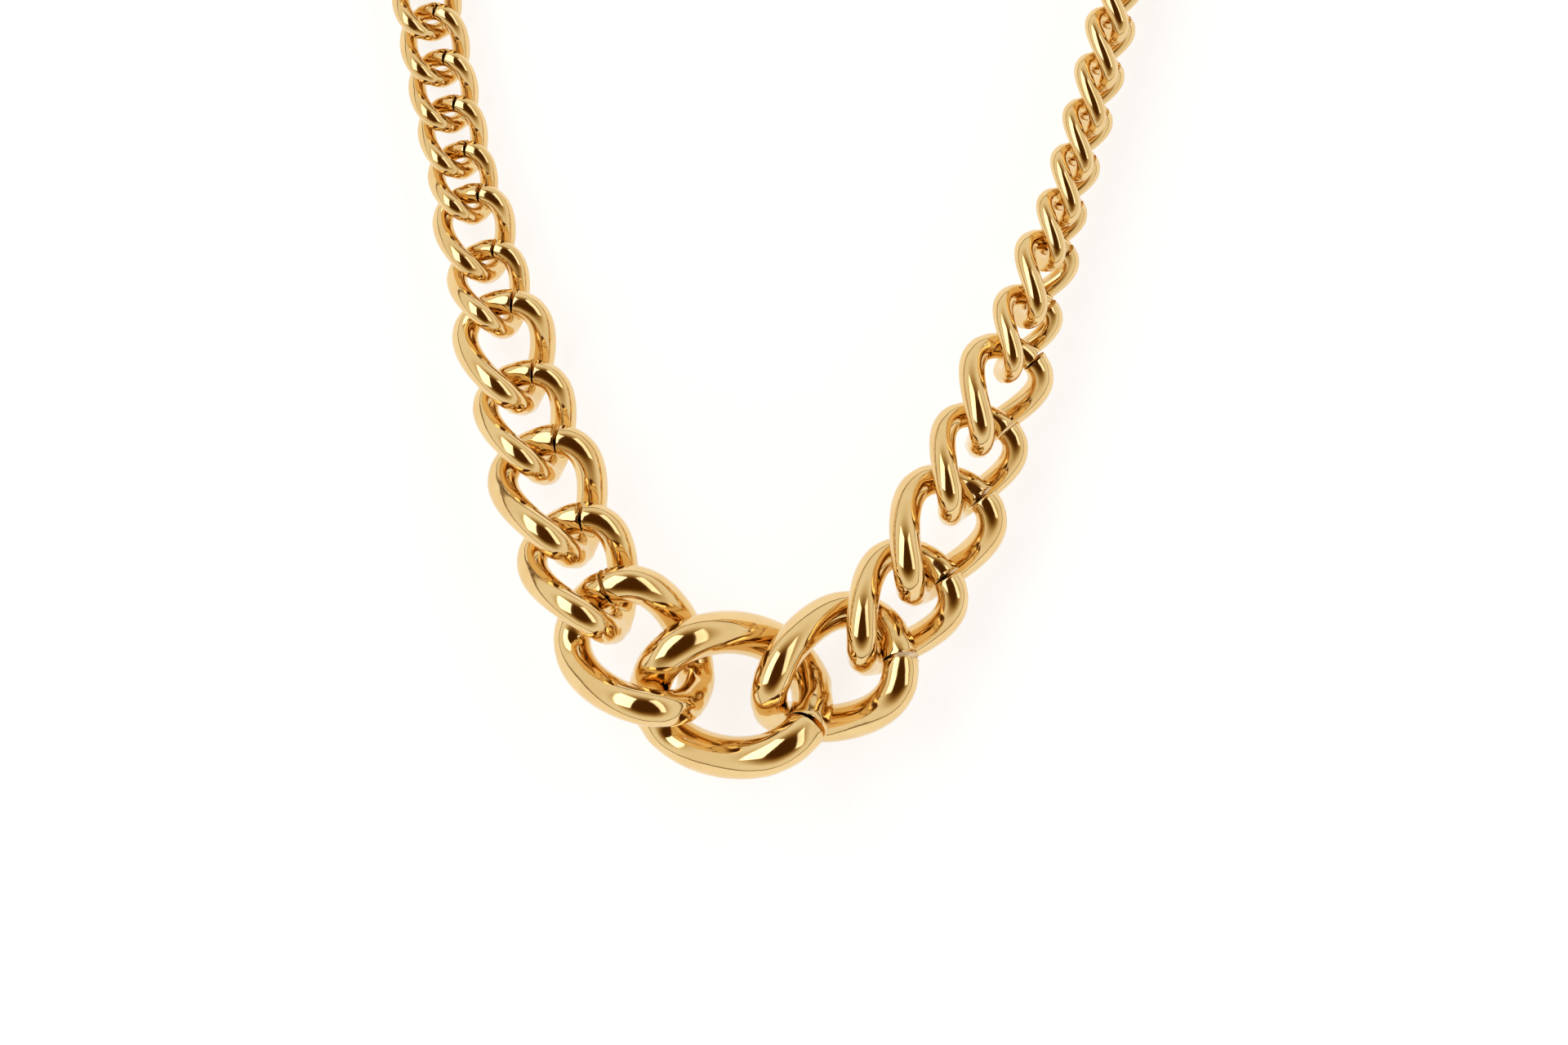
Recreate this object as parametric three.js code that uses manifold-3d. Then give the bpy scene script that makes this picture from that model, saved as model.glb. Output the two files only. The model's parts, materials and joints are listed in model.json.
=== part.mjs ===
// A graduated curb-chain necklace in polished gold-coloured metal, laid face up on a table with its
// clasp undone. Millimetres, +Z up, +Y from the big centre link towards the clasp.
import * as THREE from "three";
import { mergeVertices } from "three/addons/utils/BufferGeometryUtils.js";
import Module from "manifold-3d";

// ---- Driving dimensions ----------------------------------------------------------------------

// Curb links, from the single centre link to the small ones that run up to the clasp.
const linkSizes = [
  { wire: 7.2, length: 34.4 },
  { wire: 6.3, length: 29.8 },
  { wire: 5.2, length: 24.8 },
  { wire: 4.4, length: 21.5 },
  { wire: 3.5, length: 17.1 },
  { wire: 3.05, length: 14.4 },
];
const linksPerArm = 22;
const widthRatio = 0.76; // half width of the wire's centre line over its half length
const twistRatio = 0.39; // how far the twist lifts the wire out of the link's plane, over the same
const seamAngle = -22; // where the wire's two ends meet, in degrees round from the upper end
const seamGap = 0.35; // width of the slit between the wire's ends
const linkClearance = 0.45; // play between two linked wires
const wireSides = 8;
const bigLinks = { count: 6, steps: 24 }; // the first links of an arm are divided more finely
const smallLinkSteps = 16;

// How the chain lies: degrees between one link and the next, going up from the centre link.
const centreTilt = -7;
const bendsAtCentre = { left: [39, 19, 6, 2], right: [40, 24, 8, 3] };
const bendAlongArm = { left: 0.9, right: 1.1 };

// The centre link lies on its neighbours and leans to the right. Next to it each link's end rides
// above the end of the link before it on the left arm, and below it on the right arm.
const centreHeight = 10.9;
const centreSlope = 3;
const rides = [1.9, 0.6];
const dropPerLink = { left: 2.2, right: 0.7 }; // how fast the links come down to the table

// Roll of the links about their own length, in degrees: it eases from one value to the next
// between two link numbers.
const centreRoll = 0;
const rolls = {
  left: [{ from: 0, to: 2, roll: 30 }, { from: 3, to: 13, roll: 0 }],
  right: [
    { from: 0, to: 2, roll: 30 },
    { from: 2, to: 9, roll: 77 },
    { from: 13, to: 22, roll: 15 },
  ],
};

// Ring that ties the last curb link of each arm to the clasp parts.
const jumpRing = { wire: 1.2, length: 9.6, width: 8.4 };
const ringLean = { left: 45, right: 60 }; // how far the rings stand up from the table
const ringFacets = { sides: 6, steps: 16 };

// Claw clasp on the right arm. Its origin is the middle of its eye, with the nose along +X.
const claw = { length: 19, width: 10, thickness: 4.4, middle: 8.6 };
const eye = { hole: 4.2, rim: 1.4, thickness: 1.6, height: 3 };
const mouth = { x: 12.4, y: -0.3, length: 9.4, width: 5.8, from: 8.4, to: 15.4 };
const lever = { x: 6.4, y: -2.9, knuckle: 3, thickness: 1.9 };
const thumbTab = [[5.6, -6.4], [7.3, -6.6], [8.4, -4.2], [6, -3.4]];
const slot = { behind: 2.4, ahead: 1, inside: 2 }; // the lever's slot, past the pin and the mouth
const pinDiameter = 1.1;
const fit = 0.3;
const spring = { wire: 0.35, diameter: 2.1, turns: 2, play: 0.05, room: 1.2 };
const springFacets = { sides: 6, steps: 24 };

// Adjusting chain and end tag on the left arm.
const extenderLinks = 5;
const extender = { wire: 1.3, length: 9, width: 6.4 };
const tagRing = { wire: 1, length: 6.8, width: 6 };
const tag = { diameter: 10, thickness: 3.2, hole: 3.2, rim: 1.2, plate: 1.2, height: 2.3 };

// ---- Materials -------------------------------------------------------------------------------

const metals = {
  links: { color: 0xdca544, metalness: 1, roughness: 0.12 },
  findings: { color: 0xd39b3c, metalness: 1, roughness: 0.2 },
  steel: { color: 0xb9bcc0, metalness: 1, roughness: 0.3 },
};

function makeMesh(name, geometry, metal) {
  const mesh = new THREE.Mesh(geometry, new THREE.MeshStandardMaterial(metals[metal]));
  mesh.name = name;
  return mesh;
}

// ---- Wire shapes -----------------------------------------------------------------------------

// The centre line of one bent wire: an oval with a twist in it. Its two ends cross the plane of
// the link at about 45 degrees, opposite ways, so that the next link passes through flat.
class LinkCurve extends THREE.Curve {
  constructor(halfLength, halfWidth, twist, seam, slit) {
    super();
    Object.assign(this, { halfLength, halfWidth, twist, seam, slit });
  }
  getPoint(u, target = new THREE.Vector3()) {
    const t = this.seam + this.slit / 2 + u * (2 * Math.PI - this.slit);
    return target.set(
      this.halfLength * Math.cos(t),
      this.halfWidth * Math.sin(t),
      -this.twist * Math.sin(2 * t),
    );
  }
}

function sweepWire(curve, wire, sides, steps) {
  const section = new THREE.Shape().absarc(0, 0, wire / 2, 0, 2 * Math.PI);
  return new THREE.ExtrudeGeometry(section, {
    extrudePath: curve,
    steps,
    curveSegments: sides / 2,
  });
}

function wireLoop(length, width, wire, twist, seam, sides, steps) {
  const halfLength = (length - wire) / 2;
  const slit = seamGap / halfLength;
  const curve = new LinkCurve(halfLength, (width - wire) / 2, twist, seam, slit);
  return sweepWire(curve, wire, sides, steps);
}

// Puts a piece's lowest point on the table.
function restOnTable(mesh) {
  mesh.position.z -= new THREE.Box3().setFromObject(mesh, true).min.z;
  return mesh;
}

// ---- Curb links ------------------------------------------------------------------------------

const radians = THREE.MathUtils.degToRad;
const sizeOf = (number) =>
  linkSizes[number === 0 ? 0 : Math.min(linkSizes.length - 1, 1 + Math.floor(number / 2))];

function rollOf(side, number) {
  return rolls[side].reduce(
    (roll, step) =>
      roll + (step.roll - roll) * THREE.MathUtils.smoothstep(number, step.from, step.to),
    centreRoll,
  );
}

function makeLink(name, number, roll) {
  const { wire, length } = sizeOf(number);
  const halfLength = (length - wire) / 2;
  const width = 2 * halfLength * widthRatio + wire;
  const twist = halfLength * twistRatio;
  const steps = number < bigLinks.count ? bigLinks.steps : smallLinkSteps;
  const loop = wireLoop(length, width, wire, twist, radians(seamAngle), wireSides, steps);
  const mesh = makeMesh(name, loop, "links");
  mesh.rotation.order = "YXZ";
  mesh.rotation.x = radians(roll);
  return restOnTable(mesh);
}

// Each link slopes from its near end to its far end. The first link slopes against the centre link,
// and the others come down until each end is as high as the higher of its two links.
function slopeBetweenEnds(links, side) {
  const upwards = side === "left" ? 1 : -1;
  const slope = Math.sin(radians(centreSlope));
  const heights = links.map((link) => link.position.z);
  let end = centreHeight + upwards * reach(sizeOf(0)) * slope;
  for (let index = 1; index < links.length; index++) {
    const bearing = reach(sizeOf(index));
    const start = end + upwards * (rides[index - 1] ?? 0);
    const resting = Math.max(heights[index], heights[index + 1] ?? 0);
    end = Math.max(resting, start - dropPerLink[side]);
    if (index === 1) end = start - upwards * 2 * bearing * slope;
    links[index].position.z = (start + end) / 2;
    links[index].rotation.y = Math.asin((start - end) / 2 / bearing);
  }
}

// Distance from a link's middle to the inside of its end, where the next link bears.
const reach = ({ wire, length }) => length / 2 - wire - linkClearance / 2;

// Each joint is a group at the place where two links cross, turned to the next link's heading.
function addJoint(parent, distance, bend) {
  const joint = new THREE.Group();
  joint.position.x = distance;
  joint.rotation.z = radians(bend);
  parent.add(joint);
  return joint;
}

function addArm(parent, side, turn, centreLink) {
  const links = [centreLink];
  let joint = parent;
  for (let number = 1; number <= linksPerArm; number++) {
    const bend = bendsAtCentre[side][number - 1] ?? bendAlongArm[side];
    const bearing = reach(sizeOf(number - 1));
    joint = addJoint(joint, number === 1 ? bearing : 2 * bearing, turn * bend);
    const name = `${side}_link_${String(number).padStart(2, "0")}`;
    const mesh = makeLink(name, number, rollOf(side, number));
    mesh.position.x = reach(sizeOf(number));
    joint.add(mesh);
    links.push(mesh);
  }
  slopeBetweenEnds(links, side);
  return joint;
}

// ---- Clasp and adjusting chain ---------------------------------------------------------------

const wasm = await Module();
wasm.setup();

function solidOf(geometry) {
  const bare = geometry.clone().deleteAttribute("normal").deleteAttribute("uv");
  const { index, attributes } = mergeVertices(bare, 1e-4);
  const mesh = { numProp: 3, vertProperties: attributes.position.array, triVerts: index.array };
  return new wasm.Manifold(new wasm.Mesh(mesh));
}

function geometryOf(solid) {
  const { vertProperties, triVerts } = solid.getMesh();
  const geometry = new THREE.BufferGeometry();
  geometry.setAttribute("position", new THREE.BufferAttribute(vertProperties, 3));
  geometry.setIndex(new THREE.BufferAttribute(triVerts, 1));
  return geometry.toNonIndexed();
}

// A flat outline as a solid between two heights.
function plate(outline, bottom, top) {
  const options = { depth: top - bottom, bevelEnabled: false, curveSegments: 10 };
  return solidOf(new THREE.ExtrudeGeometry(outline, options).translate(0, 0, bottom));
}

const fullTurn = 2 * Math.PI;
const disc = (x, y, diameter) => new THREE.Shape().absarc(x, y, diameter / 2, 0, fullTurn);
const oval = (x, y, length, width) =>
  new THREE.Shape().absellipse(x, y, length / 2, width / 2, 0, fullTurn);
const polygon = (points) => new THREE.Shape(points.map(([x, y]) => new THREE.Vector2(x, y)));
const rectangle = (left, right, low, high) =>
  polygon([[left, low], [right, low], [right, high], [left, high]]);

function makeFinding(name, solid, metal = "findings") {
  return makeMesh(name, geometryOf(solid), metal);
}

// A small wire link or ring, leaning so that it hangs square through its neighbour.
function makeWireRing(name, { wire, length, width }, lean) {
  const { sides, steps } = ringFacets;
  const loop = wireLoop(length, width, wire, 0, Math.PI / 2, sides, steps);
  const mesh = makeMesh(name, loop, "findings");
  mesh.rotation.x = radians(lean);
  return restOnTable(mesh);
}

// A body with a thin eye at its own origin for a ring to pass through.
function addEye(body, { hole, rim, thickness, height }, bodyThickness) {
  const plateBottom = height - thickness / 2;
  const eyePlate = plate(disc(0, 0, hole + 2 * rim), plateBottom, plateBottom + thickness);
  const spaceAroundRing = plate(disc(0, 0, hole + 2 * rim), -1, bodyThickness + 1);
  const hollow = plate(disc(0, 0, hole), -1, bodyThickness + 1);
  return body.subtract(spaceAroundRing).add(eyePlate).subtract(hollow);
}

const clawOutline = oval(claw.middle, 0, claw.length, claw.width);

function makeClawBody() {
  const top = claw.thickness;
  const outside = plate(clawOutline, 0, top);
  const inside = plate(oval(mouth.x, mouth.y, mouth.length, mouth.width), -1, top + 1);
  const opening = plate(rectangle(mouth.from, mouth.to, -claw.width, mouth.y - 1), -1, top + 1);
  const slotHeight = lever.thickness + 2 * fit;
  const slotBottom = (top - slotHeight) / 2;
  const [slotLeft, slotRight] = [lever.x - slot.behind, mouth.from + slot.ahead];
  const slotOutline = rectangle(slotLeft, slotRight, -claw.width, lever.y + slot.inside);
  const slotSpace = plate(slotOutline, slotBottom, slotBottom + slotHeight);
  const pinHole = plate(disc(lever.x, lever.y, pinDiameter + 2 * fit), -1, top + 1);
  const body = outside.subtract(inside).subtract(opening).subtract(slotSpace).subtract(pinHole);
  return addEye(body, eye, top);
}

function makeClawLever() {
  const bottom = (claw.thickness - lever.thickness) / 2;
  const top = bottom + lever.thickness;
  const outside = plate(clawOutline, bottom, top);
  const inside = plate(oval(mouth.x, mouth.y, mouth.length, mouth.width), -1, top + 1);
  const reachOfBar = rectangle(lever.x + 1, mouth.to - fit, -claw.width, mouth.y - 1 - fit);
  const bar = plate(reachOfBar, bottom, top).intersect(outside).subtract(inside);
  const knuckle = plate(disc(lever.x, lever.y, lever.knuckle), bottom, top);
  const tab = plate(polygon(thumbTab), bottom, top);
  const springTop = bottom + spring.room;
  const springSpace = plate(disc(lever.x, lever.y, spring.diameter + 2 * fit), -1, springTop);
  const pinHole = plate(disc(lever.x, lever.y, pinDiameter + 2 * fit), -1, top + 1);
  return bar.add(knuckle).add(tab).subtract(springSpace).subtract(pinHole);
}

class CoilCurve extends THREE.Curve {
  getPoint(u, target = new THREE.Vector3()) {
    const angle = u * spring.turns * fullTurn;
    const radius = (spring.diameter - spring.wire) / 2;
    const rise = u * spring.turns * (spring.wire + spring.play);
    return target.set(radius * Math.cos(angle), radius * Math.sin(angle), rise);
  }
}

function makeLeverSpring() {
  const { sides, steps } = springFacets;
  const coil = sweepWire(new CoilCurve(), spring.wire, sides, steps);
  const mesh = makeMesh("lever_spring", coil, "steel");
  const slotBottom = (claw.thickness - lever.thickness) / 2 - fit;
  mesh.position.set(lever.x, lever.y, slotBottom + fit / 2 + spring.wire / 2);
  return mesh;
}

// Every joint from here on takes its place from the end of the piece before it.
function addRing(joint, name, shape, lean) {
  const mesh = makeWireRing(name, shape, lean);
  mesh.position.x = reach(shape);
  joint.add(mesh);
}

function addClasp(lastLinkJoint) {
  const ringJoint = addJoint(lastLinkJoint, 2 * reach(sizeOf(linksPerArm)), 0);
  addRing(ringJoint, "right_jump_ring", jumpRing, ringLean.right);
  const clawJoint = addJoint(ringJoint, 2 * reach(jumpRing), 0);
  const clawGroup = new THREE.Group();
  clawGroup.position.x = jumpRing.wire / 2;
  clawJoint.add(clawGroup);
  const pin = plate(disc(lever.x, lever.y, pinDiameter), 0, claw.thickness);
  clawGroup.add(makeFinding("claw_body", makeClawBody()));
  clawGroup.add(makeFinding("lever_pin", pin, "steel"));
  clawGroup.add(makeLeverSpring());
  const leverMesh = makeFinding("claw_lever", makeClawLever());
  const leverJoint = addJoint(clawGroup, 0, 0);
  leverJoint.position.set(lever.x, lever.y, 0);
  leverMesh.position.set(-lever.x, -lever.y, 0);
  leverJoint.add(leverMesh);
}

function addExtender(lastLinkJoint) {
  let joint = addJoint(lastLinkJoint, 2 * reach(sizeOf(linksPerArm)), 0);
  let lean = ringLean.left;
  addRing(joint, "left_jump_ring", jumpRing, lean);
  let before = jumpRing;
  for (let number = 1; number <= extenderLinks; number++) {
    joint = addJoint(joint, 2 * reach(before), 0);
    lean = -lean;
    addRing(joint, `extender_link_${number}`, extender, lean);
    before = extender;
  }
  joint = addJoint(joint, 2 * reach(before), 0);
  addRing(joint, "tag_ring", tagRing, -lean);
  joint = addJoint(joint, 2 * reach(tagRing), 0);
  const tagEye = { hole: tag.hole, rim: tag.rim, thickness: tag.plate, height: tag.height };
  const tagDisc = plate(disc(tag.diameter / 2 + 1, 0, tag.diameter), 0, tag.thickness);
  const tagMesh = makeFinding("end_tag", addEye(tagDisc, tagEye, tag.thickness));
  tagMesh.position.x = tagRing.wire / 2;
  joint.add(tagMesh);
}

// ---- Assembly --------------------------------------------------------------------------------

const necklace = new THREE.Group();
const centre = new THREE.Group();
centre.rotation.z = radians(centreTilt);
necklace.add(centre);
const centreLink = makeLink("centre_link", 0, centreRoll);
centreLink.rotation.y = radians(centreSlope);
centreLink.position.z = centreHeight;
centre.add(centreLink);

// The left arm leaves the centre link's far end, so it starts out turned half round.
const leftStart = new THREE.Group();
leftStart.rotation.z = Math.PI;
centre.add(leftStart);
addExtender(addArm(leftStart, "left", -1, centreLink));
addClasp(addArm(centre, "right", 1, centreLink));

// The origin is the middle of the necklace's base, on the table.
necklace.updateMatrixWorld(true);
const extent = new THREE.Box3().setFromObject(necklace, true);
const middle = extent.getCenter(new THREE.Vector3());
necklace.position.set(-middle.x, -middle.y, -extent.min.z);

export default necklace;
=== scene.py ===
"""A graduated curb-chain necklace in polished gold, laid out on a pale table, its clasp undone."""

import json
import math

import bpy
import numpy as np
from mathutils import Matrix, Vector


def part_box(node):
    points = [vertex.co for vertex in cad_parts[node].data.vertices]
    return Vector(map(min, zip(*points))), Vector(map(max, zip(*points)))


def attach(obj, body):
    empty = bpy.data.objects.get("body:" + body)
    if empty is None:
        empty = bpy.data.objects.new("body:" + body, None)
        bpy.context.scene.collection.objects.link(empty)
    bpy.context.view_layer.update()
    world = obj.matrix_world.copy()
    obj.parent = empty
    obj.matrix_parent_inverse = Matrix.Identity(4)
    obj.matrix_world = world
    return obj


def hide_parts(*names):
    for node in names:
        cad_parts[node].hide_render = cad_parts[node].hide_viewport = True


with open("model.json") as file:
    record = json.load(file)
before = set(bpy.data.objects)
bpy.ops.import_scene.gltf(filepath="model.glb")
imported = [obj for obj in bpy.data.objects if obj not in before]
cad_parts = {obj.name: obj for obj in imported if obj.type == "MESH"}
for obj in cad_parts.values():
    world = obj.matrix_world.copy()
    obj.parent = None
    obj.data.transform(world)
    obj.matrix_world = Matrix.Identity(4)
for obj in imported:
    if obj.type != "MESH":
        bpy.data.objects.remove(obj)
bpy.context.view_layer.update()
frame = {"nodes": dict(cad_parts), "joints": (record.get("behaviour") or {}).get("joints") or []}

MM = 0.001

# Wire and outside length of each curb link, from the centre link outwards, in millimetres.
LINK_SIZES = [(7.2, 34.4), (6.3, 29.8), (5.2, 24.8), (4.4, 21.5), (3.5, 17.1), (3.05, 14.4)]
LINKS_PER_ARM = 22
WIDTH_RATIO = 0.76
TWIST_RATIO = 0.39
SEAM_ANGLE = math.radians(-22)
SEAM_GAP = 0.35
CURB_STEPS = 112
CURB_SIDES = 24

# Dents near a link's ends. Depth and spacing are shares of the wire, and the marked part of the
# link starts at one share of its half length and is at its full depth some way further out.
DENT_DEPTH = 0.07
DENT_SPACING = 0.45
DENTS_FROM = 0.45
DENTS_GROW_OVER = 0.4
DENT_LEVEL = 0.8  # texture value that leaves the surface where it is

# Wire, outside length and outside width of the small rings and links near the clasp.
JUMP_RING = (1.14, 9.54, 8.34)
EXTENDER_LINK = (1.3, 9.0, 6.4)
TAG_RING = (1.0, 6.8, 6.0)
EXTENDER_LINKS = 5
RING_SEAM = math.radians(90)
RING_SEAM_GAP = 0.12
RING_STEPS = 64
RING_SIDES = 16

# Broken edges: the widest bevel in millimetres, how sharp an edge has to be to get one, and the
# angle up to which faces are shaded as one smooth surface.
CUT_EDGE = 0.14
EDGE_SEGMENTS = 3
SHARP_ANGLE = math.radians(50)
SMOOTH_ANGLE = math.radians(40)

# Cast pieces: node, body, grain of the new surface in millimetres, and rounds of smoothing.
CASTINGS = [
    ("claw_body", "claw", 0.16, 44),
    ("claw_lever", "claw_lever", 0.11, 20),
    ("end_tag", "end_tag", 0.14, 36),
]
CROWN = 0.6  # share of its thickness that a casting loses at its sides

PIN_SIDES = 32
SPRING_WIRE = 0.35
SPRING_DIAMETER = 2.1
SPRING_TURNS = 2
SPRING_STEPS = 72
SPRING_SIDES = 12

# Grain of each layer of a metal's surface, as noise scale per metre.
TONE_SCALE = 180
WAVE_SCALE = 420
LINE_SCALE = 2600
PIT_SCALE = 5200
LINE_STRETCH = (1, 0.25, 1)

# The table: side in metres, height in millimetres, and how much light it gives of its own.
TABLE_SIDE = 6
TABLE_HEIGHT = -0.4
TABLE_GLOW = 0.76

# Soft boxes of the studio: where they hang in degrees, their half sizes and their edges' softness
# as tangents seen from the table. Each one's glow is added to the walls' or the ceiling's. The
# fades are heights on a unit sphere round the table.
LEFT_BOX = {"azimuth": 158, "elevation": 50, "half_width": 0.62, "half_height": 0.27, "soft": 0.03}
LEFT_GLOW = 2.0
RIGHT_BOX = {"azimuth": 18, "elevation": 50, "half_width": 0.6, "half_height": 0.17, "soft": 0.04}
RIGHT_GLOW = 1.2
CEILING_GLOW = 0.07
WALL_GLOW = 0.85
WALLS_FADE = (0.32, 0.9)
HORIZON_FADE = (0.02, 0.09)
HORIZON_GLOW = 0.1

# Dim parts of the studio are warm: green and blue fall off as these powers of the glow.
GREEN_POWER = 0.4
BLUE_POWER = 1.2

# The camera looks straight down. In millimetres: the point below it, the height at which the view
# has its stated width, and its sensor. In metres: its height, that width, and how far it sees.
CAMERA_CENTRE = (0.7, -89.6)
CHAIN_MIDDLE = 8
SENSOR_WIDTH = 36
CAMERA_HEIGHT = 1.2
VIEW_WIDTH = 0.2605
CAMERA_REACH = 50


# ---- Shader recipes --------------------------------------------------------------------------


class Channel:
    """One socket of a shader, which takes part in sums and products."""

    def __init__(self, recipe, socket):
        self.recipe = recipe
        self.socket = socket

    def maths(self, operation, *values):
        return self.recipe.add("ShaderNodeMath", {"operation": operation}, dict(enumerate(values)))

    def __add__(self, other):
        return self.maths("ADD", self, other)

    __radd__ = __add__

    def __sub__(self, other):
        return self.maths("SUBTRACT", self, other)

    def __rsub__(self, other):
        return self.maths("SUBTRACT", other, self)

    def __mul__(self, other):
        return self.maths("MULTIPLY", self, other)

    __rmul__ = __mul__

    def __truediv__(self, other):
        return self.maths("DIVIDE", self, other)

    def __abs__(self):
        return self.maths("ABSOLUTE", self)

    def rises(self, low, high):
        """0 below low, 1 above high, and smooth between them."""
        sockets = {"Value": self, "From Min": low, "From Max": high}
        return self.recipe.add("ShaderNodeMapRange", {"interpolation_type": "SMOOTHSTEP"}, sockets)


class Recipe:
    """Adds the nodes of one material or world."""

    def __init__(self, tree):
        self.tree = tree
        tree.nodes.clear()

    def add(self, kind, settings=None, sockets=None, output=0):
        node = self.tree.nodes.new(kind)
        for name, value in (settings or {}).items():
            setattr(node, name, value)
        for name, value in (sockets or {}).items():
            if isinstance(value, Channel):
                self.tree.links.new(value.socket, node.inputs[name])
            else:
                node.inputs[name].default_value = value
        return Channel(self, node.outputs[output] if node.outputs else None)

    def mix_colours(self, factor, first, second):
        # The mix node's colour sockets share their names with others, so they go by number.
        settings = {"data_type": "RGBA"}
        return self.add("ShaderNodeMix", settings, {0: factor, 6: first, 7: second}, output=2)

    def noise(self, place, scale, detail=2.0, stretch=(1, 1, 1)):
        where = self.add("ShaderNodeMapping", None, {"Vector": place, "Scale": stretch})
        sockets = {"Vector": where, "Scale": scale, "Detail": detail}
        return self.add("ShaderNodeTexNoise", None, sockets)

    def surface(self, sockets):
        shader = self.add("ShaderNodeBsdfPrincipled", None, sockets)
        self.add("ShaderNodeOutputMaterial", None, {"Surface": shader})


def new_recipe(name):
    material = bpy.data.materials.new(name)
    material.use_nodes = True
    return material, Recipe(material.node_tree)


def polished_metal(name, colour, deep_colour, roughness, waviness, grain):
    """Polished metal: uneven in tone, with soft waves, fine polishing lines and small pits.

    The height of the waves and of the lines is in millimetres.
    """
    material, recipe = new_recipe(name)
    place = recipe.add("ShaderNodeTexCoord", output="Object")
    tone = recipe.noise(place, TONE_SCALE)
    waves = recipe.noise(place, WAVE_SCALE, detail=1.0)
    lines = recipe.noise(place, LINE_SCALE, detail=3.0, stretch=LINE_STRETCH)
    pits = recipe.noise(place, PIT_SCALE)
    height = waves * waviness + lines * grain + pits.rises(0.7, 0.82) * (-2 * grain)
    bump_sockets = {"Strength": 1.0, "Distance": MM, "Height": height}
    recipe.surface({
        "Base Color": recipe.mix_colours(tone.rises(0.35, 0.7), colour, deep_colour),
        "Metallic": 1.0,
        "Roughness": roughness + 0.05 * lines.rises(0.35, 0.75) + 0.04 * tone,
        "Normal": recipe.add("ShaderNodeBump", None, bump_sockets),
    })
    return material


def pale_floor():
    material, recipe = new_recipe("pale_table")
    place = recipe.add("ShaderNodeTexCoord", output="Object")
    tone = recipe.noise(place, 3)
    recipe.surface({
        "Base Color": recipe.mix_colours(tone, (0.40, 0.40, 0.40, 1), (0.42, 0.42, 0.418, 1)),
        "Roughness": 0.9,
        "Specular IOR Level": 0.1,
        "Emission Color": (1, 1, 1, 1),
        "Emission Strength": TABLE_GLOW,
    })
    return material


LINK_GOLD = polished_metal(
    "polished_gold", (0.85, 0.62, 0.30, 1), (0.81, 0.57, 0.255, 1), 0.05, 0.016, 0.0006
)
RING_GOLD = polished_metal(
    "ring_gold", (0.84, 0.61, 0.29, 1), (0.79, 0.555, 0.25, 1), 0.09, 0.02, 0.001
)
CAST_GOLD = polished_metal(
    "cast_gold", (0.84, 0.61, 0.29, 1), (0.79, 0.555, 0.25, 1), 0.33, 0.035, 0.002
)
STEEL = polished_metal(
    "spring_steel", (0.62, 0.62, 0.63, 1), (0.5, 0.5, 0.52, 1), 0.22, 0.004, 0.002
)


# ---- Making wires ----------------------------------------------------------------------------


def deselect_all():
    bpy.ops.object.select_all(action="DESELECT")


def only(piece):
    deselect_all()
    piece.select_set(True)
    bpy.context.view_layer.objects.active = piece


def break_edges(piece, width):
    only(piece)
    bevel = piece.modifiers.new("broken_edge", "BEVEL")
    bevel.width = width
    bevel.segments = EDGE_SEGMENTS
    bevel.limit_method = "ANGLE"
    bevel.angle_limit = SHARP_ANGLE
    bpy.ops.object.modifier_apply(modifier=bevel.name)
    bpy.ops.object.shade_smooth_by_angle(angle=SMOOTH_ANGLE)


def wire_along(name, path, wire, sides):
    """A round wire along an open path, with its two cut edges just broken."""
    deselect_all()
    bpy.ops.mesh.primitive_circle_add(vertices=len(path), radius=path[0].length)
    piece = bpy.context.object
    piece.name = name
    for vertex, point in zip(piece.data.vertices, path):
        vertex.co = point
    last = len(path) - 1
    bpy.ops.object.mode_set(mode="EDIT")
    bpy.ops.mesh.select_mode(type="EDGE")
    bpy.ops.mesh.select_all(action="DESELECT")
    bpy.ops.object.mode_set(mode="OBJECT")
    for edge in piece.data.edges:
        edge.select = set(edge.vertices) == {0, last}
    bpy.ops.object.mode_set(mode="EDIT")
    bpy.ops.mesh.delete(type="EDGE")
    bpy.ops.object.mode_set(mode="OBJECT")
    bpy.ops.object.convert(target="CURVE")
    piece.data.bevel_depth = wire / 2
    piece.data.bevel_resolution = sides // 2 - 2  # a bevel has twice this many sides, plus four
    piece.data.use_fill_caps = True
    bpy.ops.object.convert(target="MESH")
    bpy.ops.object.mode_set(mode="EDIT")
    bpy.ops.mesh.select_all(action="SELECT")
    bpy.ops.mesh.remove_doubles(threshold=wire * 1e-4)
    bpy.ops.mesh.normals_make_consistent(inside=False)
    bpy.ops.object.mode_set(mode="OBJECT")
    break_edges(piece, min(CUT_EDGE * MM, wire / 8))
    return piece


def bent_wire(name, wire, length, width, twist, seam, gap, steps, sides):
    """One link or ring: an oval wire, twisted out of its plane, with its ends at the seam."""
    half_length = (length - wire) / 2
    half_width = (width - wire) / 2
    slit = gap / half_length
    path = []
    for step in range(steps + 1):
        angle = seam + slit / 2 + step / steps * (2 * math.pi - slit)
        x = half_length * math.cos(angle)
        y = half_width * math.sin(angle)
        z = -twist * half_length * math.sin(2 * angle)
        path.append(Vector((x, y, z)) * MM)
    return wire_along(name, path, wire * MM, sides)


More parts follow.
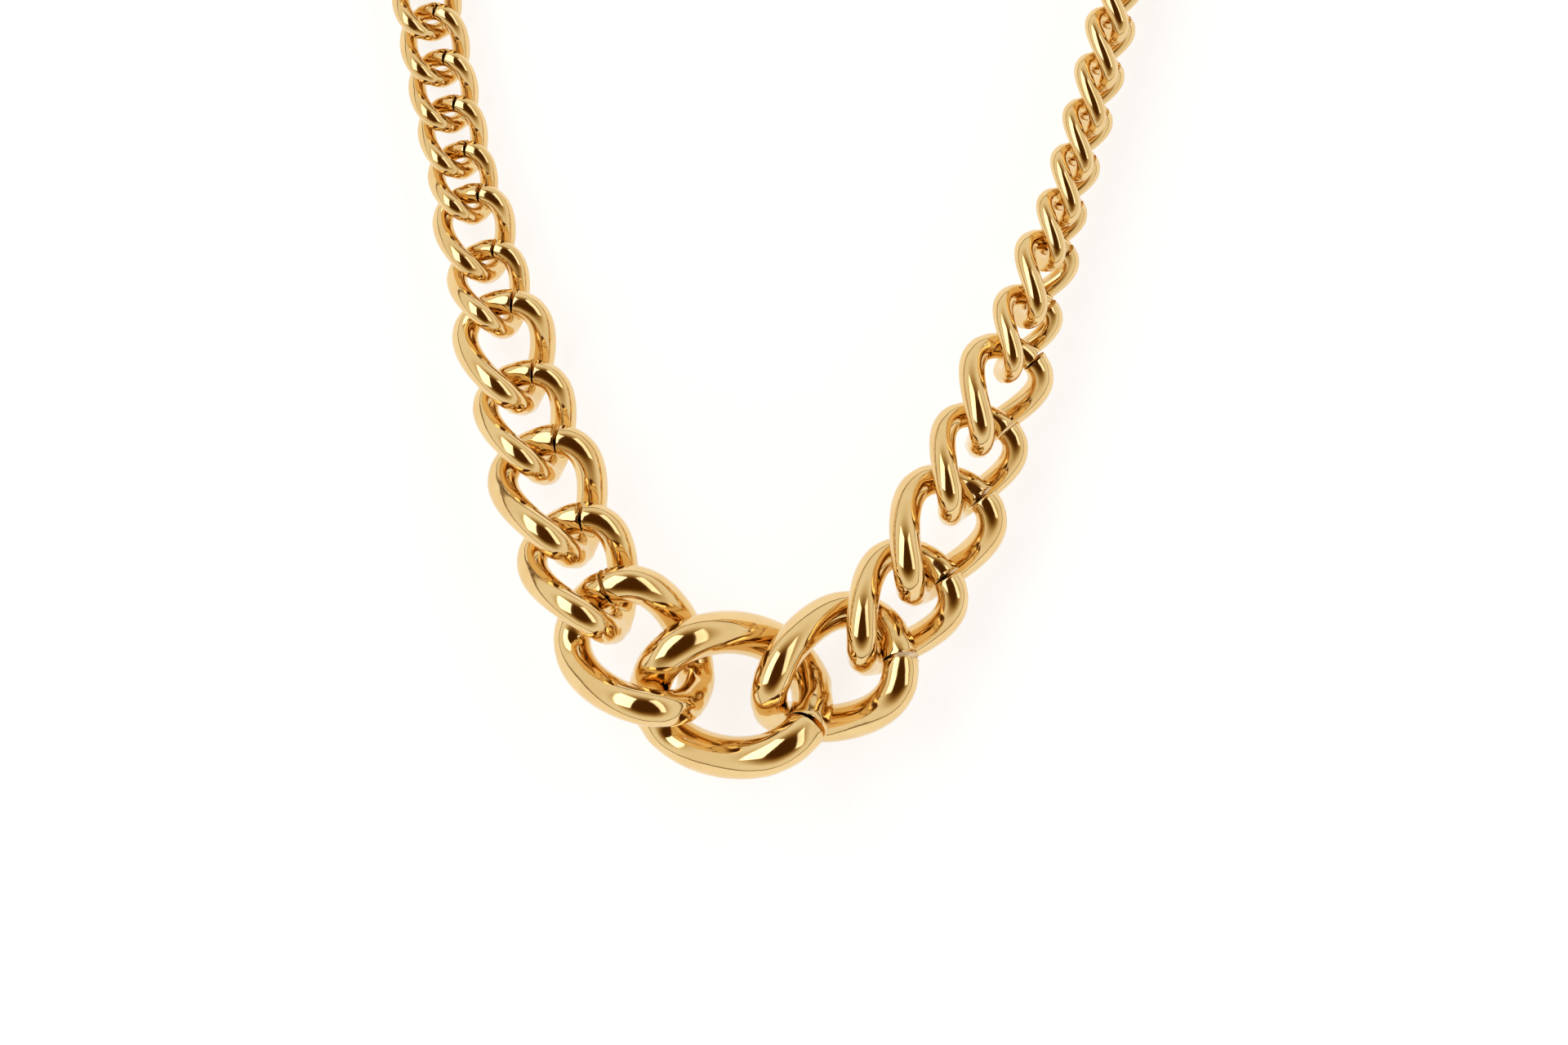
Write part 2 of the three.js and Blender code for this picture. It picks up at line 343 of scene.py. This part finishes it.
def mark_ends(piece, depth, spacing):
    """Shallow dents near both ends of a link, where it was pressed shut and rubs on others."""
    only(piece)
    ends = piece.vertex_groups.new(name="worked_ends")
    reach = max(abs(vertex.co.x) for vertex in piece.data.vertices)
    for vertex in piece.data.vertices:
        share = (abs(vertex.co.x) / reach - DENTS_FROM) / DENTS_GROW_OVER
        ends.add([vertex.index], min(1, max(0, share)), "REPLACE")
    dents = bpy.data.textures.new("dents", "CLOUDS")
    dents.noise_scale = spacing
    dents.noise_depth = 1
    marks = piece.modifiers.new("marks", "DISPLACE")
    marks.texture = dents
    marks.vertex_group = ends.name
    marks.strength = depth
    marks.mid_level = DENT_LEVEL
    bpy.ops.object.modifier_apply(modifier=marks.name)


def curb_pattern(number):
    wire, length = LINK_SIZES[number]
    width = (length - wire) * WIDTH_RATIO + wire
    pattern = bent_wire(
        f"curb_pattern_{number}", wire, length, width, TWIST_RATIO,
        seam=SEAM_ANGLE, gap=SEAM_GAP, steps=CURB_STEPS, sides=CURB_SIDES,
    )
    mark_ends(pattern, DENT_DEPTH * wire * MM, DENT_SPACING * wire * MM)
    return pattern


def ring_pattern(name, shape):
    return bent_wire(
        name, *shape, twist=0,
        seam=RING_SEAM, gap=RING_SEAM_GAP, steps=RING_STEPS, sides=RING_SIDES,
    )


# ---- Placing pieces --------------------------------------------------------------------------


def solid_axes(mesh):
    """The centre of a closed mesh's volume, and its long, middle and short axes.

    They come from the volume moments of the tetrahedra between each triangle and the origin.
    """
    mesh.calc_loop_triangles()
    points = np.array([vertex.co for vertex in mesh.vertices])
    corners = points[[list(triangle.vertices) for triangle in mesh.loop_triangles]]
    a, b, c = corners[:, 0], corners[:, 1], corners[:, 2]
    volumes = np.einsum("ij,ij->i", a, np.cross(b, c)) / 6
    total = a + b + c
    centre = (volumes[:, None] * total).sum(0) / 4 / volumes.sum()
    spread = np.zeros((3, 3))
    for vectors in (a, b, c, total):
        spread += np.einsum("i,ij,ik->jk", volumes, vectors, vectors) / 20
    spread -= volumes.sum() * np.outer(centre, centre)
    axes = np.linalg.eigh(spread)[1][:, ::-1]
    return centre, axes


def place_of(mesh, forward):
    """Where a link lies: its centre, with x along it on the forward side, and z upwards."""
    centre, axes = solid_axes(mesh)
    along = axes[:, 0] * np.sign(axes[:, 0] @ forward(centre))
    up = axes[:, 2] * np.sign(axes[2, 2])
    place = np.identity(4)
    place[:3, 0] = along
    place[:3, 1] = np.cross(up, along)
    place[:3, 2] = up
    place[:3, 3] = centre
    return Matrix(place)


JOINT_OF = {joint["child"]: np.array(joint["pos_m"]) for joint in frame["joints"]}


def forward_from_joint(node):
    """A link points away from its own joint, and the centre link towards the right arm."""
    if node in JOINT_OF:
        return lambda centre: centre - JOINT_OF[node]
    return lambda centre: JOINT_OF["right_link_01"] - centre


def add_piece(name, mesh, node, body, material):
    mesh.materials.clear()
    mesh.materials.append(material)
    piece = bpy.data.objects.new(name, mesh)
    bpy.context.scene.collection.objects.link(piece)
    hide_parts(node)
    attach(piece, body)
    return piece


def add_wire(pattern, node, material):
    """Copies a modelled link or ring to where one node of the necklace lies."""
    mesh = pattern.data.copy()
    from_pattern = place_of(mesh, lambda centre: np.array((1, 0, 0))).inverted()
    to_node = place_of(frame["nodes"][node].data, forward_from_joint(node))
    mesh.transform(to_node @ from_pattern)
    add_piece(f"{node}_wire", mesh, node, node, material)


def take_mesh(piece):
    """The mesh of a modelled object, without the object."""
    mesh = piece.data.copy()
    bpy.data.objects.remove(piece)
    return mesh


# ---- The chain -------------------------------------------------------------------------------


def size_of(number):
    """Links go in pairs of one size, after the centre link and the first of each arm."""
    return 0 if number == 0 else min(len(LINK_SIZES) - 1, 1 + number // 2)


curb_patterns = [curb_pattern(number) for number in range(len(LINK_SIZES))]
add_wire(curb_patterns[0], "centre_link", LINK_GOLD)
for side in ("left", "right"):
    for number in range(1, LINKS_PER_ARM + 1):
        pattern = curb_patterns[size_of(number)]
        add_wire(pattern, f"{side}_link_{number:02d}", LINK_GOLD)

jump_ring = ring_pattern("jump_ring_pattern", JUMP_RING)
for node in ("left_jump_ring", "right_jump_ring"):
    add_wire(jump_ring, node, RING_GOLD)
extender_link = ring_pattern("extender_pattern", EXTENDER_LINK)
for number in range(1, EXTENDER_LINKS + 1):
    add_wire(extender_link, f"extender_link_{number}", RING_GOLD)
tag_ring = ring_pattern("tag_ring_pattern", TAG_RING)
add_wire(tag_ring, "tag_ring", RING_GOLD)

for pattern in [*curb_patterns, jump_ring, extender_link, tag_ring]:
    bpy.data.objects.remove(pattern)


# ---- Clasp and tag ---------------------------------------------------------------------------


def crown(mesh, amount):
    """Thins a flat piece towards its sides, so that its two faces swell like a casting's."""
    centre, axes = solid_axes(mesh)
    offsets = np.array([vertex.co for vertex in mesh.vertices]) - centre
    across = abs(offsets @ axes[:, 1])
    height = offsets @ axes[:, 2]
    share = (across / across.max()) ** 2 * (abs(height) / abs(height).max()) ** 3
    moved = -amount * share * height
    for vertex, step in zip(mesh.vertices, moved):
        vertex.co += Vector(axes[:, 2]) * step


def cast_piece(node, body, grain, rounding):
    """A cast finding: the node's own shape, its faces crowned and every edge polished round."""
    mesh = frame["nodes"][node].data.copy()
    piece = add_piece(f"{node}_cast", mesh, node, body, CAST_GOLD)
    only(piece)
    bpy.ops.object.mode_set(mode="EDIT")
    bpy.ops.mesh.select_all(action="SELECT")
    bpy.ops.mesh.remove_doubles(threshold=1e-3 * MM)
    bpy.ops.object.mode_set(mode="OBJECT")
    remesh = piece.modifiers.new("grain", "REMESH")
    remesh.mode = "VOXEL"
    remesh.voxel_size = grain * MM
    bpy.ops.object.modifier_apply(modifier=remesh.name)
    crown(piece.data, CROWN)
    polish = piece.modifiers.new("polish", "SMOOTH")
    polish.factor = 0.5
    polish.iterations = rounding
    bpy.ops.object.modifier_apply(modifier=polish.name)
    bpy.ops.object.shade_smooth()


def rivet_pin():
    low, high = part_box("lever_pin")
    size = high - low
    deselect_all()
    bpy.ops.mesh.primitive_cylinder_add(
        vertices=PIN_SIDES, radius=size.x / 2, depth=size.z, location=(low + high) / 2
    )
    rod = bpy.context.object
    bpy.ops.object.transform_apply(location=True, rotation=True, scale=True)
    break_edges(rod, size.x / 5)
    add_piece("lever_pin_rivet", take_mesh(rod), "lever_pin", "claw", STEEL)


def torsion_spring():
    low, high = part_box("lever_spring")
    middle = (low + high) / 2
    radius = (SPRING_DIAMETER - SPRING_WIRE) / 2 * MM
    rise = high.z - low.z - SPRING_WIRE * MM
    path = []
    for step in range(SPRING_STEPS + 1):
        share = step / SPRING_STEPS
        angle = share * SPRING_TURNS * 2 * math.pi
        offset = (radius * math.cos(angle), radius * math.sin(angle), rise * (share - 0.5))
        path.append(middle + Vector(offset))
    coil = wire_along("spring_coil", path, SPRING_WIRE * MM, SPRING_SIDES)
    add_piece("lever_spring_coil", take_mesh(coil), "lever_spring", "claw", STEEL)


for casting in CASTINGS:
    cast_piece(*casting)
rivet_pin()
torsion_spring()


# ---- Table, light and camera -----------------------------------------------------------------


def add_table():
    deselect_all()
    bpy.ops.mesh.primitive_plane_add(size=TABLE_SIDE, location=(0, 0, TABLE_HEIGHT * MM))
    table = bpy.context.object
    table.name = "pale_table"
    bpy.ops.object.transform_apply(location=True, rotation=True, scale=True)
    table.data.materials.append(pale_floor())


def direction(azimuth, elevation):
    across = math.cos(math.radians(elevation))
    x = across * math.cos(math.radians(azimuth))
    y = across * math.sin(math.radians(azimuth))
    return Vector((x, y, math.sin(math.radians(elevation))))


def light_panel(recipe, way, azimuth, elevation, half_width, half_height, soft):
    """A rectangle of the studio round the table, 1 inside it and 0 outside."""
    facing = direction(azimuth, elevation)
    right = facing.cross(Vector((0, 0, 1))).normalized()
    above = right.cross(facing)

    def along(axis):
        settings = {"operation": "DOT_PRODUCT"}
        return recipe.add("ShaderNodeVectorMath", settings, {0: way, 1: axis}, output="Value")

    depth = along(facing)
    safe_depth = depth.maths("MAXIMUM", depth, 0.01)
    beside = abs(along(right) / safe_depth).rises(half_width - soft, half_width + soft)
    beyond = abs(along(above) / safe_depth).rises(half_height - soft, half_height + soft)
    in_front = depth.rises(0.0, 0.05)
    return (1 - beside) * (1 - beyond) * in_front


def light_studio():
    """Pale walls, a dark ceiling, a dark line at the horizon and two soft boxes."""
    world = bpy.data.worlds.new("soft_studio")
    bpy.context.scene.world = world
    world.use_nodes = True
    recipe = Recipe(world.node_tree)
    way = recipe.add("ShaderNodeTexCoord", output="Generated")
    up = recipe.add("ShaderNodeSeparateXYZ", None, {"Vector": way}, output="Z")
    boxes = (
        LEFT_GLOW * light_panel(recipe, way, **LEFT_BOX)
        + RIGHT_GLOW * light_panel(recipe, way, **RIGHT_BOX)
    )
    walls = CEILING_GLOW + WALL_GLOW * (1 - up.rises(*WALLS_FADE))
    above_horizon = HORIZON_GLOW + (1 - HORIZON_GLOW) * up.rises(*HORIZON_FADE)
    glow = (walls + boxes) * above_horizon
    warmth = glow.maths("MINIMUM", glow, 1.0)
    greens = warmth.maths("POWER", warmth, GREEN_POWER)
    blues = warmth.maths("POWER", warmth, BLUE_POWER)
    tint_sockets = {"Red": 1.0, "Green": greens, "Blue": blues}
    tint = recipe.add("ShaderNodeCombineColor", None, tint_sockets)
    studio = recipe.add("ShaderNodeBackground", None, {"Color": tint, "Strength": glow})
    backdrop_sockets = {"Color": (1, 1, 1, 1), "Strength": 1.0}
    backdrop = recipe.add("ShaderNodeBackground", None, backdrop_sockets)
    seen = recipe.add("ShaderNodeLightPath", output="Is Camera Ray")
    both = recipe.add("ShaderNodeMixShader", None, {0: seen, 1: studio, 2: backdrop})
    recipe.add("ShaderNodeOutputWorld", None, {"Surface": both})


def add_camera():
    deselect_all()
    x, y = CAMERA_CENTRE
    bpy.ops.object.camera_add(location=(x * MM, y * MM, CAMERA_HEIGHT), rotation=(0, 0, 0))
    camera = bpy.context.object
    camera.name = "overhead_camera"
    camera.data.sensor_width = SENSOR_WIDTH
    camera.data.lens = SENSOR_WIDTH * (CAMERA_HEIGHT - CHAIN_MIDDLE * MM) / VIEW_WIDTH
    camera.data.clip_end = CAMERA_REACH
    bpy.context.scene.camera = camera


add_table()
light_studio()
add_camera()
bpy.context.scene.view_settings.view_transform = "Standard"
